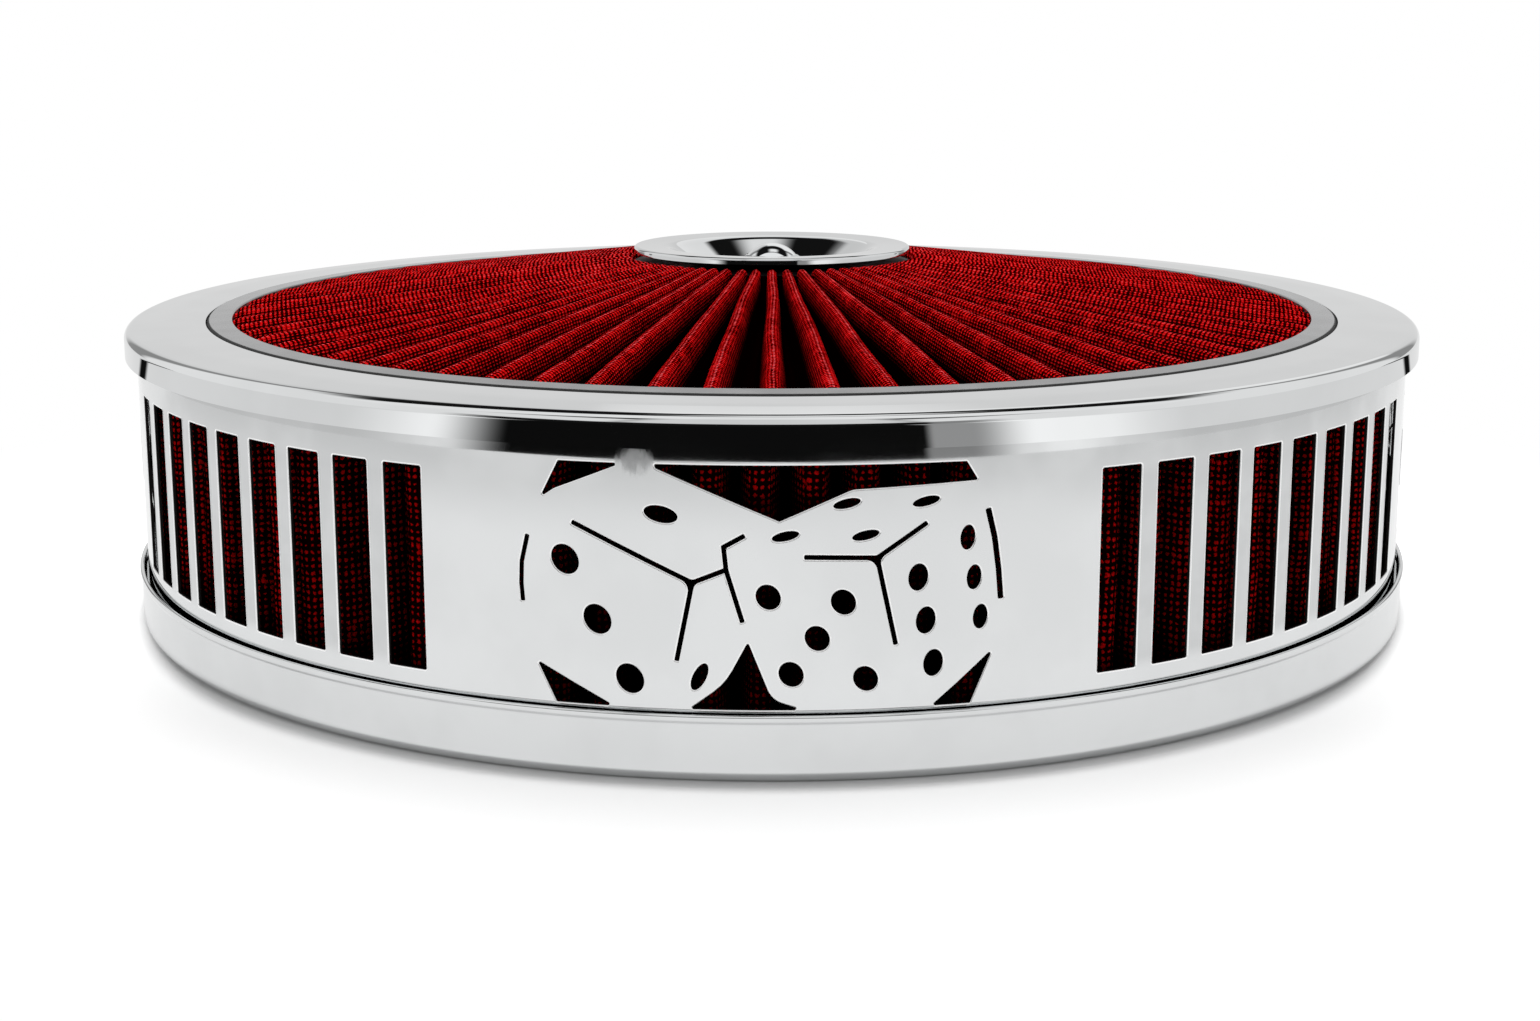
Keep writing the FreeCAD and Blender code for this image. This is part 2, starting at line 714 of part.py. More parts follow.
hub_seal = revolved(
    "hub_seal",
    [
        (f"{STUD_HOLE} + sleeve_wall", HUB_UNDER),
        ("hub_radius", HUB_UNDER),
        ("hub_radius", HUB_TOP),
        (f"{CAP_LAND_RADIUS} + cap_recess_gap", HUB_TOP),
        (f"{CAP_FLOOR_RADIUS} + cap_recess_gap", CAP_FLOOR_UNDER),
        (f"{STUD_HOLE} + sleeve_wall", CAP_FLOOR_UNDER),
    ],
    [((2,), "hub_round")],
)

hub_plate = revolved(
    "hub_plate",
    [
        (STUD_HOLE, f"{HUB_UNDER} - hub_plate_sheet"),
        (HUB_PLATE_RADIUS, f"{HUB_UNDER} - hub_plate_sheet"),
        (HUB_PLATE_RADIUS, HUB_UNDER),
        (STUD_HOLE, HUB_UNDER),
    ],
)

hub_sleeve = revolved(
    "hub_sleeve",
    [
        (STUD_HOLE, HUB_UNDER),
        (f"{STUD_HOLE} + sleeve_wall", HUB_UNDER),
        (f"{STUD_HOLE} + sleeve_wall", CAP_FLOOR_UNDER),
        (STUD_HOLE, CAP_FLOOR_UNDER),
    ],
)

center_cap = revolved(
    "center_cap",
    [
        (STUD_HOLE, CAP_FLOOR_UNDER),
        (CAP_FLOOR_RADIUS, CAP_FLOOR_UNDER),
        (CAP_LAND_RADIUS, f"{CAP_TOP} - cap_land_drop - cap_sheet"),
        (f"{CAP_RADIUS} - cap_sheet", f"{CAP_TOP} - cap_sheet"),
        (f"{CAP_RADIUS} - cap_sheet", f"{CAP_TOP} - cap_edge_drop"),
        (CAP_RADIUS, f"{CAP_TOP} - cap_edge_drop"),
        (CAP_RADIUS, CAP_TOP),
        (CAP_LAND_RADIUS, f"{CAP_TOP} - cap_land_drop"),
        (CAP_FLOOR_RADIUS, CAP_FLOOR_TOP),
        (STUD_HOLE, CAP_FLOOR_TOP),
    ],
    [
        ((6,), "cap_edge_round"),
        ((2,), "cap_bend_round - cap_sheet"),
        ((7,), "cap_bend_round"),
        ((8,), "cap_bend_round - cap_sheet"),
        ((1,), "cap_bend_round"),
    ],
)

nut_washer = revolved(
    "nut_washer",
    [
        (STUD_HOLE, CAP_FLOOR_TOP),
        ("washer_radius", CAP_FLOOR_TOP),
        ("washer_radius", WASHER_TOP),
        (STUD_HOLE, WASHER_TOP),
    ],
)


# nut and stud

def domed_nut():
    """A hexagon cap nut with a low crown and a blind hole."""
    crown_angle = "acos(nut_crown_radius / nut_crown_sphere)"
    hexagon_height = f"(nut_height - nut_crown_sphere * (1 - sin({crown_angle})))"
    hexagon = doc.addObject("Part::Prism", "nut_hexagon")
    hexagon.Polygon = 6
    hexagon.setExpression("Circumradius", bound("nut_across_flats / 2 / cos(30)"))
    hexagon.setExpression("Height", bound(hexagon_height))
    hexagon.setExpression("Placement.Base.z", bound(WASHER_TOP))
    corner_cone = doc.addObject("Part::Cone", "nut_corner_cone")
    cone_foot = f"nut_crown_radius + nut_shoulder + {hexagon_height} / tan(30)"
    corner_cone.setExpression("Radius1", bound(cone_foot))
    corner_cone.setExpression("Radius2", bound("nut_crown_radius + nut_shoulder"))
    corner_cone.setExpression("Height", bound(hexagon_height))
    corner_cone.setExpression("Placement.Base.z", bound(WASHER_TOP))
    chamfered = doc.addObject("Part::Common", "nut_chamfered")
    chamfered.Base = hexagon
    chamfered.Tool = corner_cone
    crown = doc.addObject("Part::Sphere", "nut_crown")
    crown.setExpression("Radius", bound("nut_crown_sphere"))
    crown.setExpression("Angle1", bound(crown_angle))
    crown.setExpression("Placement.Base.z", bound(f"{NUT_TOP} - nut_crown_sphere"))
    solid = doc.addObject("Part::Fuse", "nut_solid")
    solid.Base = chamfered
    solid.Tool = crown
    hole = cylinder("nut_hole", "stud_radius + thread_gap", "nut_hole_depth", WASHER_TOP)
    return cut("cap_nut", solid, hole)


cap_nut = domed_nut()

center_stud = revolved(
    "center_stud",
    [
        ("0", STUD_FOOT),
        ("stud_radius - stud_chamfer", STUD_FOOT),
        ("stud_radius", f"{STUD_FOOT} + stud_chamfer"),
        ("stud_radius", f"{STUD_FOOT} + stud_lower_thread"),
        ("stud_shank_radius", f"{STUD_FOOT} + stud_lower_thread"),
        ("stud_shank_radius", f"{STUD_TOP} - stud_upper_thread"),
        ("stud_radius", f"{STUD_TOP} - stud_upper_thread"),
        ("stud_radius", f"{STUD_TOP} - stud_chamfer"),
        ("stud_radius - stud_chamfer", STUD_TOP),
        ("0", STUD_TOP),
    ],
)

SUB_PARTS = [
    base_pan,
    neck_gasket,
    side_band,
    element_lower_seal,
    element_media,
    element_upper_seal,
    lid_ring,
    lid_edge_seal,
    lid_media,
    hub_seal,
    hub_plate,
    hub_sleeve,
    center_cap,
    nut_washer,
    cap_nut,
    center_stud,
]

doc.recompute()
for item in doc.Objects:
    for state in ("Invalid", "Error"):
        if state in item.State:
            raise RuntimeError(f"{item.Label} is {state}")
for sub_part in SUB_PARTS:
    if sub_part.Shape.isNull() or not sub_part.Shape.isValid():
        raise RuntimeError(f"{sub_part.Label} has no valid shape")

os.makedirs("parts", exist_ok=True)
for sub_part in SUB_PARTS:
    sub_part.Shape.exportStep(f"parts/{sub_part.Label}.step")
    print(sub_part.Label, len(sub_part.Shape.Solids), round(sub_part.Shape.Volume, 1))
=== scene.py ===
from math import acos, cos, degrees, pi, radians, sin, sqrt, tan

import bpy
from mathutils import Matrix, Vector, noise


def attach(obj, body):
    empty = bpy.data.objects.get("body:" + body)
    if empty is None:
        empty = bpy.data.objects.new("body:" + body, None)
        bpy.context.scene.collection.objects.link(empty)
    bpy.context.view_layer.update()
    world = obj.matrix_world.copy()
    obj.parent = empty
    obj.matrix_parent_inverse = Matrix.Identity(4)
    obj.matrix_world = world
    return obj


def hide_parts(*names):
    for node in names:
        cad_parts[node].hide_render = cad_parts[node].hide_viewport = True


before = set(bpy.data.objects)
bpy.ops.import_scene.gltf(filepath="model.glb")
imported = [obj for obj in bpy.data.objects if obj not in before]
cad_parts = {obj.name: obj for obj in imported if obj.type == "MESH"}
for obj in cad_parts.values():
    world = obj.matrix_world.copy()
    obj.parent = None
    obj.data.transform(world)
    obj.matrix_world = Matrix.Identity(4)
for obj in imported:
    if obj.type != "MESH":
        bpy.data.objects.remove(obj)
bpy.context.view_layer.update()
MM = 0.001
WHITE = (1.0, 1.0, 1.0, 1.0)
# colour of the painted shade in the gauze
PAINTED_SHADE_RED = (0.003, 0.0, 0.0)
SAME_PLACE = 1e-9


# shader nodes

def add(tree, kind, settings=None, **sockets):
    """A shader node; sockets are named, or i0, i1 and so on by place."""
    made = tree.nodes.new("ShaderNode" + kind)
    for key, value in (settings or {}).items():
        setattr(made, key, value)
    for key, value in sockets.items():
        by_place = key[0] == "i" and key[1:].isdigit()
        socket = made.inputs[int(key[1:])] if by_place else made.inputs[key.replace("_", " ")]
        if isinstance(value, bpy.types.NodeSocket):
            tree.links.new(value, socket)
        else:
            socket.default_value = value
    return made


def calc(tree, operation, a, b=0.0, c=0.0):
    made = add(tree, "Math", {"operation": operation}, i0=a, i1=b, i2=c)
    return made.outputs[0]


def span(tree, value, start, end, low=0.0, high=1.0, kind="SMOOTHSTEP"):
    """Goes from low to high as value goes from start to end."""
    made = add(tree, "MapRange", {"interpolation_type": kind}, Value=value)
    for key, number in (("From Min", start), ("From Max", end), ("To Min", low), ("To Max", high)):
        made.inputs[key].default_value = number
    return made.outputs[0]


def blend_colour(tree, share, first, second):
    made = tree.nodes.new("ShaderNodeMix")
    made.data_type = "RGBA"
    for socket, value in ((made.inputs[0], share), (made.inputs[6], first), (made.inputs[7], second)):
        if isinstance(value, bpy.types.NodeSocket):
            tree.links.new(value, socket)
        else:
            socket.default_value = (*value, 1.0) if isinstance(value, tuple) else value
    return made.outputs[2]


def cloud(tree, place, scale, detail=2.0, roughness=0.5):
    return add(tree, "TexNoise", Vector=place, Scale=scale, Detail=detail, Roughness=roughness).outputs[0]


def window(tree, value, low, high, soft):
    """One between low and high, with soft edges."""
    rising = span(tree, value, low, low + soft)
    return calc(tree, "MULTIPLY", rising, span(tree, value, high - soft, high, 1.0, 0.0))


def heading_of(tree, place):
    """Degrees round from the front, positive to the right."""
    split = add(tree, "SeparateXYZ", Vector=place)
    turned = calc(tree, "ARCTAN2", split.outputs[0], calc(tree, "MULTIPLY", split.outputs[1], -1.0))
    return calc(tree, "MULTIPLY", turned, 180 / pi)


def new_material(name):
    material = bpy.data.materials.new(name)
    material.use_nodes = True
    tree = material.node_tree
    tree.nodes.clear()
    return material, tree, add(tree, "OutputMaterial")


def surface(tree, output, height=None, strength=1.0, distance=0.0, **sockets):
    """The usual shader, with a bump where a height is given."""
    shader = add(tree, "BsdfPrincipled", **sockets)
    if height is not None:
        bump = add(tree, "Bump", Height=height, Strength=strength, Distance=distance)
        tree.links.new(bump.outputs[0], shader.inputs["Normal"])
    tree.links.new(shader.outputs[0], output.inputs[0])


# materials of the object

def chrome(name, level, roughness, waviness, scuff=None, bars=None):
    """Polished plate: faint haze, slow waves left by the press and hairline wipes.

    The band also has one scuffed spot, a darker colour on the narrow bars between its slots, a painted shade towards
    its top under the lid's lip, cut faces painted near black as painted shade and burrs painted near white as a
    painted highlight, which its edge attribute marks with -1 and 1.
    """
    material, tree, output = new_material(name)
    place = add(tree, "TexCoord").outputs["Object"]
    haze = cloud(tree, place, 38.0, 3.0)
    wipes = cloud(tree, add(tree, "Mapping", Vector=place, Scale=(40, 40, 900)).outputs[0], 1.0, 2.0)
    tint = tuple(level * share for share in (0.985, 1.0, 1.005))
    darker = tuple(share * 0.955 for share in tint)
    colour = blend_colour(tree, span(tree, haze, 0.35, 0.65), darker, tint)
    soft = calc(tree, "MULTIPLY", span(tree, haze, 0.3, 0.7, 0.75, 1.35), roughness)
    soft = calc(tree, "ADD", soft, span(tree, wipes, 0.62, 0.75, 0.0, 0.012))
    if scuff:
        away = add(tree, "VectorMath", {"operation": "DISTANCE"}, i0=place, i1=scuff).outputs["Value"]
        streaks = cloud(tree, add(tree, "Mapping", Vector=place, Scale=(900, 900, 250)).outputs[0], 1.0, 3.0)
        edge = calc(tree, "MULTIPLY_ADD", calc(tree, "SUBTRACT", streaks, 0.5), 0.006, away)
        worn = calc(tree, "MULTIPLY", span(tree, edge, 0.0008, 0.0046, 1.0, 0.0),
                    span(tree, streaks, 0.35, 0.6, 0.06, 0.2))
        soft = calc(tree, "ADD", soft, worn)
    metal = 1.0
    if bars:
        low, high, first, last = bars
        quarter = calc(tree, "FLOORED_MODULO", heading_of(tree, place), 90.0)
        height = add(tree, "SeparateXYZ", Vector=place).outputs[2]
        # darker colour in random patches on the narrow bars between the slots
        on_bars = calc(tree, "MULTIPLY", window(tree, quarter, first, last, 0.5), window(tree, height, low, high, 0.004))
        bar_darkening = calc(tree, "MULTIPLY", on_bars, span(tree, cloud(tree, place, 130.0), 0.35, 0.65, 0.75, 1.0))
        colour = blend_colour(tree, bar_darkening, colour, tuple(share * 0.8 for share in tint))
        # painted shade: the band darkens towards its top, under the lid's lip, for the reflected shade of the overhang
        painted_lip_shade = calc(tree, "MULTIPLY", span(tree, height, 0.05, 0.071), span(tree, haze, 0.3, 0.6, 0.35, 1.0))
        colour = blend_colour(tree, painted_lip_shade, colour, tuple(share * 0.72 for share in tint))
        edge = add(tree, "Attribute", {"attribute_name": "edge"}).outputs["Fac"]
        # painted shade: cut faces, marked -1, near black for the shade inside the slots
        colour = blend_colour(tree, span(tree, edge, -0.6, 0.0, 1.0, 0.0), colour, (0.02, 0.018, 0.018))
        # painted highlight: burrs, marked 1, near white and rougher than the chrome, on real rolled strips
        colour = blend_colour(tree, span(tree, edge, 0.0, 0.8), colour, (0.97, 0.97, 0.97))
        soft = calc(tree, "ADD", soft, span(tree, edge, 0.0, 0.8, 0.0, 0.28))
        # cut faces not metallic, part of their painted shade
        metal = span(tree, edge, -0.6, 0.0)
    waves = calc(tree, "ADD", cloud(tree, place, 22.0, 1.0), calc(tree, "MULTIPLY", wipes, 0.004))
    surface(tree, output, waves, 1.0, waviness, Base_Color=colour, Roughness=soft, Metallic=metal,
            Specular_IOR_Level=0.0)
    return material


def gauze(name, pitch_along, pitch_across, gap, thread, glint, size, crest_rib, shade_depth, ragged, shaded=None):
    """Oiled cotton gauze over a wire screen: a grid of red tufts, drawn into ribs across each crest.

    The weave is laid out in millimetres; glint is the colour of a painted highlight along the middle of each crest
    and on the brightest tufts, shade_depth the depth below the crest where a painted shade turns the colour black,
    ragged the unevenness of the tufts, and shaded the heights and headings behind the cut picture, where little light
    gets in, which get a painted shade, as does the foot of the ring.
    """
    material, tree, output = new_material(name)
    sheet = add(tree, "UVMap", {"uv_map": "Weave"}).outputs[0]
    place = add(tree, "TexCoord").outputs["Object"]
    drift = add(tree, "TexNoise", Vector=place, Scale=55.0, Detail=2.0).outputs["Color"]
    shifted = add(tree, "VectorMath", {"operation": "MULTIPLY_ADD"}, i0=drift, i1=(1.4, 0.9, 0.0), i2=sheet)
    frayed = add(tree, "TexNoise", Vector=place, Scale=1500.0, Detail=1.0).outputs["Color"]
    shifted = add(tree, "VectorMath", {"operation": "MULTIPLY_ADD"}, i0=frayed, i1=(ragged * 1.4, ragged, 0.0),
                  i2=shifted.outputs[0])
    split = add(tree, "SeparateXYZ", Vector=shifted.outputs[0])
    turn_along = calc(tree, "MULTIPLY", split.outputs[0], 2 * pi / pitch_along)
    turn_across = calc(tree, "MULTIPLY", split.outputs[1], 2 * pi / pitch_across)
    rows = calc(tree, "MULTIPLY_ADD", calc(tree, "COSINE", turn_along), 0.5, 0.5)
    columns = calc(tree, "MULTIPLY_ADD", calc(tree, "COSINE", turn_across), 0.5, 0.5)
    tufts = calc(tree, "MULTIPLY", rows, columns)
    across = add(tree, "SeparateXYZ", Vector=sheet).outputs[1]
    off_middle = calc(tree, "ABSOLUTE", across)
    on_crest = span(tree, off_middle, 1.4, 2.6, crest_rib, 0.0)
    weave = calc(tree, "MULTIPLY_ADD", on_crest, calc(tree, "SUBTRACT", rows, tufts), tufts)
    uneven = calc(tree, "SUBTRACT", cloud(tree, place, 420.0, 3.0), 0.5)
    patches = calc(tree, "SUBTRACT", cloud(tree, place, 110.0), 0.5)
    tone = calc(tree, "MULTIPLY_ADD", patches, 0.6, calc(tree, "MULTIPLY_ADD", uneven, 2.2 * ragged, weave))
    colour = blend_colour(tree, span(tree, tone, size - 0.14, size + 0.14), gap, thread)
    # painted highlight: a pinkish glint along the middle of each crest and on the brightest tufts
    seam = span(tree, off_middle, 0.3, 0.75, 0.8, 0.0)
    painted_glint = calc(tree, "MULTIPLY", span(tree, tone, 0.5, 0.9), calc(tree, "ADD", seam, 0.15))
    colour = blend_colour(tree, painted_glint, colour, glint)
    depth = add(tree, "Attribute", {"attribute_name": "depth"}).outputs["Fac"]
    # painted shade: the colour turns black deeper in the folds
    colour = blend_colour(tree, span(tree, depth, shade_depth * 0.15, shade_depth), colour, PAINTED_SHADE_RED)
    if shaded:
        low, high, half_turn = shaded
        quarter = calc(tree, "FLOORED_MODULO", calc(tree, "ADD", heading_of(tree, place), 45.0), 90.0)
        height = add(tree, "SeparateXYZ", Vector=place).outputs[2]
        behind = calc(tree, "MULTIPLY", window(tree, quarter, 45.0 - half_turn, 45.0 + half_turn, 1.0),
                      window(tree, height, low, high, 0.006))
        foot = span(tree, height, 0.016, 0.026, 0.75, 0.0)
        # painted shade: near black behind the cut picture and towards the foot of the ring
        painted_shade_mask = calc(tree, "MAXIMUM", calc(tree, "MULTIPLY", behind, 0.85), foot)
        colour = blend_colour(tree, painted_shade_mask, colour, PAINTED_SHADE_RED)
    surface(tree, output, weave, 1.0, 0.0003, Base_Color=colour, Roughness=0.6, Specular_IOR_Level=0.0)
    return material


def moulded(name, dark, light, roughness, grain, height, gloss=0.4, seam=None):
    """Moulded rubber or urethane: mottled tone, a fine grain with small pits and maybe a darker, rougher outer rim."""
    material, tree, output = new_material(name)
    place = add(tree, "TexCoord").outputs["Object"]
    mottle = cloud(tree, place, 90.0, 4.0)
    pits = add(tree, "TexVoronoi", Vector=place, Scale=grain).outputs["Distance"]
    colour = blend_colour(tree, span(tree, mottle, 0.35, 0.65), dark, light)
    soft = span(tree, mottle, 0.3, 0.7, roughness * 0.85, roughness * 1.15)
    if seam:
        flat = add(tree, "VectorMath", {"operation": "MULTIPLY"}, i0=place, i1=(1.0, 1.0, 0.0)).outputs[0]
        reach = add(tree, "VectorMath", {"operation": "LENGTH"}, i0=flat).outputs["Value"]
        # darker and rougher round the outer rim, beyond the given radius
        dark_rim = span(tree, reach, seam - 0.0004, seam)
        colour = blend_colour(tree, dark_rim, colour, (0.004, 0.004, 0.004))
        soft = calc(tree, "MAXIMUM", soft, calc(tree, "MULTIPLY", dark_rim, 0.8))
    rise = calc(tree, "ADD", span(tree, pits, 0.0, 0.35), calc(tree, "MULTIPLY", mottle, 0.5))
    surface(tree, output, rise, 0.6, height, Base_Color=colour, Roughness=soft, Specular_IOR_Level=gloss)
    return material


def plated_steel(name):
    """Zinc plate: a pale spangle with a faint straw tint, brushed by handling."""
    material, tree, output = new_material(name)
    place = add(tree, "TexCoord").outputs["Object"]
    spangle = add(tree, "TexVoronoi", Vector=place, Scale=420.0).outputs["Color"]
    pale = add(tree, "SeparateXYZ", Vector=spangle).outputs[0]
    stain = cloud(tree, place, 70.0, 3.0)
    colour = blend_colour(tree, pale, (0.5, 0.5, 0.48), (0.66, 0.66, 0.64))
    colour = blend_colour(tree, span(tree, stain, 0.5, 0.8, 0.0, 0.5), colour, (0.6, 0.55, 0.42))
    soft = span(tree, stain, 0.3, 0.7, 0.28, 0.42)
    surface(tree, output, stain, 0.4, 0.00004, Base_Color=colour, Roughness=soft, Metallic=1.0)
    return material


CHROME_LID = chrome("polished_lid", 0.75, 0.018, 0.00002)
CHROME_BAND = chrome("polished_band", 0.78, 0.02, 0.00002, (-0.0254, -0.1729, 0.0682), (0.018, 0.0652, 24.4, 65.6))
CHROME_BASE = chrome("polished_base", 0.75, 0.03, 0.00003)
CHROME_CAP = chrome("polished_cap", 0.69, 0.03, 0.00001)
CHROME_NUT = chrome("polished_nut", 0.78, 0.03, 0.00001)
STEEL = plated_steel("zinc_plate")
GAUZE_LID = gauze("lid_gauze", 1.2, 0.82, (0.025, 0.0, 0.0), (0.95, 0.0006, 0.0014), (1.0, 0.17, 0.19), 0.33, 0.35,
                  0.49, 0.4)
GAUZE_SIDE = gauze("side_gauze", 1.55, 1.6, (0.006, 0.0, 0.0), (0.52, 0.0004, 0.0008), (0.6, 0.01, 0.012), 0.5, 0.0,
                   0.95, 0.8, (0.014, 0.064, 14.0))
GREY_SEAL = moulded("grey_urethane", (0.075, 0.077, 0.08), (0.15, 0.152, 0.156), 0.12, 900.0, 0.000002, 1.0, 0.1562)
BLACK_SEAL = moulded("black_urethane", (0.006, 0.006, 0.007), (0.014, 0.014, 0.015), 0.55, 700.0, 0.00008)
GASKET = moulded("gasket_rubber", (0.018, 0.018, 0.018), (0.03, 0.03, 0.03), 0.7, 1200.0, 0.00005)
WASHER = moulded("washer_rubber", (0.015, 0.015, 0.015), (0.025, 0.025, 0.025), 0.5, 1500.0, 0.00003)

for node, material in {
    "hub_plate": STEEL, "hub_sleeve": STEEL, "element_lower_seal": BLACK_SEAL, "element_upper_seal": BLACK_SEAL,
    "hub_seal": BLACK_SEAL, "neck_gasket": GASKET, "nut_washer": WASHER,
}.items():
    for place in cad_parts[node].material_slots:
        place.material = material


# polished sheet metal

def new_piece(name, mesh, material, body, replaced):
    piece = bpy.data.objects.new(name, mesh)
    bpy.context.scene.collection.objects.link(piece)
    mesh.materials.clear()
    mesh.materials.append(material)
    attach(piece, body)
    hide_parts(replaced)


def unit(r, z):
    length = sqrt(r * r + z * z)
    return r / length, z / length


def runs_counterclockwise(outline):
    """Whether a closed outline of (radius, height, ...) places turns to the left."""
    crosses = (outline[i - 1][0] * outline[i][1] - outline[i][0] * outline[i - 1][1] for i in range(len(outline)))
    return sum(crosses) > 0


def rounded_outline(corners):
    """Closed outline through (radius, height, round) corners: (radius, height, normal before, normal after)."""
    number = len(corners)
    side = 1 if runs_counterclockwise(corners) else -1

    def normal(first, second):
        r, z = unit(second[0] - first[0], second[1] - first[1])
        return side * z, -side * r

    places = []
    for i, corner in enumerate(corners):
        before, after = corners[i - 1], corners[(i + 1) % number]
        r, z, bend = corner[0], corner[1], corner[2] if len(corner) > 2 else 0.0
        normal_in, normal_out = normal(before, corner), normal(corner, after)
        if not bend:
            places.append((r, z, normal_in, normal_out))
            continue
        back, ahead = unit(before[0] - r, before[1] - z), unit(after[0] - r, after[1] - z)
        half = acos(max(-1.0, min(1.0, back[0] * ahead[0] + back[1] * ahead[1]))) / 2
        inward = unit(back[0] + ahead[0], back[1] + ahead[1])
        middle = r + inward[0] * bend / sin(half), z + inward[1] * bend / sin(half)
        outward = -1 if inward[0] * normal_in[0] + inward[1] * normal_in[1] > 0 else 1
        steps = max(4, int(degrees(pi - 2 * half) / 7))
        for k in range(steps + 1):
            share = k / steps
            turn = (pi - 2 * half) * (share - 0.5)
            n = -inward[0], -inward[1]
            turn *= side * outward
            n = n[0] * cos(turn) - n[1] * sin(turn), n[0] * sin(turn) + n[1] * cos(turn)
            shading = n[0] * outward, n[1] * outward
            places.append((middle[0] + n[0] * bend, middle[1] + n[1] * bend, shading, shading))
    return places


def spun(name, corners, segments):
    """A turned shape with exact normals, so that its reflections run smoothly."""
    outline = rounded_outline(corners)
    number = len(outline)
    turns = [(sin(2 * pi * k / segments), -cos(2 * pi * k / segments)) for k in range(segments)]
    points = [(r * s * MM, r * c * MM, z * MM) for r, z, *_ in outline for s, c in turns]
    facets, normals = [], []
    reverse = runs_counterclockwise(outline)
    for i in range(number):
        j = (i + 1) % number
        for k in range(segments):
            m = (k + 1) % segments
            quad = [(i, k), (j, k), (j, m), (i, m)]
            if reverse:
                quad.reverse()
            facets.append([row * segments + turn for row, turn in quad])
            for row, turn in quad:
                r, z = outline[i][3] if row == i else outline[j][2]
                s, c = turns[turn]
                normals.append((r * s, r * c, z))
    mesh = bpy.data.meshes.new(name)
    mesh.from_pydata(points, [], facets)
    mesh.shade_smooth()
    mesh.normals_split_custom_set(normals)
    return mesh


LID_CORNERS = [
    (177.8, 71.4), (177.8, 78.5, 2.5), (167.5, 79.1, 60.0), (156.8, 79.0, 0.35), (156.8, 74.0),
    (157.8, 74.0), (157.8, 77.9, 0.6), (167.5, 78.1, 59.0), (176.8, 77.5, 1.5), (176.8, 71.4),
]
BASE_CORNERS = [
    (176.6, 0.0, 2.5), (176.6, 12.9, 0.8), (177.0, 13.7, 0.5), (177.0, 14.9, 0.5), (175.85, 14.9, 0.5),
    (175.85, 12.9), (175.6, 12.4), (175.6, 1.0),
    (158.4, 1.0), (156.0, 8.0, 2.0), (76.3, 8.0), (74.3, 11.0, 1.2), (66.3, 11.0), (66.3, 19.0), (65.3, 19.0),
    (65.3, 10.0, 1.2), (73.3, 10.0), (75.3, 7.0), (155.0, 7.0, 1.0), (157.4, 0.0),
]
SEAL_CORNERS = [
    (149.9, 67.6), (156.8, 67.6), (156.8, 78.2), (156.2, 79.3, 0.7), (149.9, 79.5, 0.5),
]
CAP_CORNERS = [
    (3.575, 84.0), (15.0, 84.0, 6.0), (29.0, 94.0, 4.8), (38.0, 94.5), (38.0, 93.9), (39.2, 93.9),
    (39.2, 95.7, 0.8), (29.0, 95.2, 6.0), (15.0, 85.2, 4.8), (3.575, 85.2),
]
new_piece("lid_ring_sheet", spun("lid_ring_sheet", LID_CORNERS, 360), CHROME_LID, "lid", "lid_ring")
new_piece("base_pan_sheet", spun("base_pan_sheet", BASE_CORNERS, 360), CHROME_BASE, "housing", "base_pan")
new_piece("edge_bead", spun("edge_bead", SEAL_CORNERS, 240), GREY_SEAL, "lid", "lid_edge_seal")
new_piece("cap_dish", spun("cap_dish", CAP_CORNERS, 240), CHROME_CAP, "lid", "center_cap")


